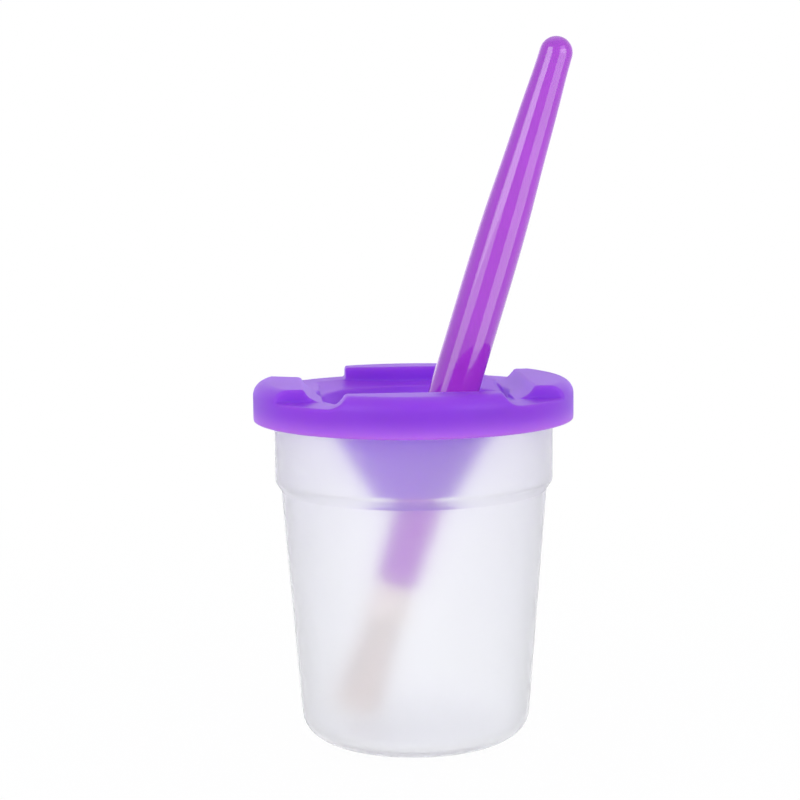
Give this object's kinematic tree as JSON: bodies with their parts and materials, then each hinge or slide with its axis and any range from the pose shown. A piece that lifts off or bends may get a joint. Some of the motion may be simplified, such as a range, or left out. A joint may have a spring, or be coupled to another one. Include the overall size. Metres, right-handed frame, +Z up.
{
  "type": "paint cup with lid",
  "caption": "Translucent stepped paint cup with a press-on funnel lid, two brush rests and a chubby brush leaning in the funnel.",
  "frame": {"origin": "centre of the cup's underside, on the table", "axes": "+Z up along the cup's axis; -Y is the front of the lid; the two brush rests run along Y; the brush leans towards +X and -Y"},
  "size_m": [0.08, 0.08, 0.1734],
  "materials": {
    "cup_plastic": "satin translucent natural polypropylene",
    "lid_plastic": "satin translucent violet",
    "handle_plastic": "gloss",
    "ferrule_metal": "satin",
    "glue": "dull set glue",
    "bristle": "natural hog bristle"
  },
  "bodies": {
    "cup": {"cup": "cup_plastic"},
    "lid": {"lid": "lid_plastic"},
    "brush": {"brush_handle": "handle_plastic", "brush_ferrule": "ferrule_metal", "bristle_glue": "glue", "brush_bristles": "bristle"}
  },
  "joints": [
    {"name": "lid_lift", "type": "slide", "parent": "cup", "child": "lid", "axis": [0, 0, 1], "range_m": [0, 0.1]},
    {"name": "brush_pull", "type": "slide", "parent": "lid", "child": "brush", "axis": [0.2713, -0.1598, 0.9492], "range_m": [0, 0.11]}
  ]
}
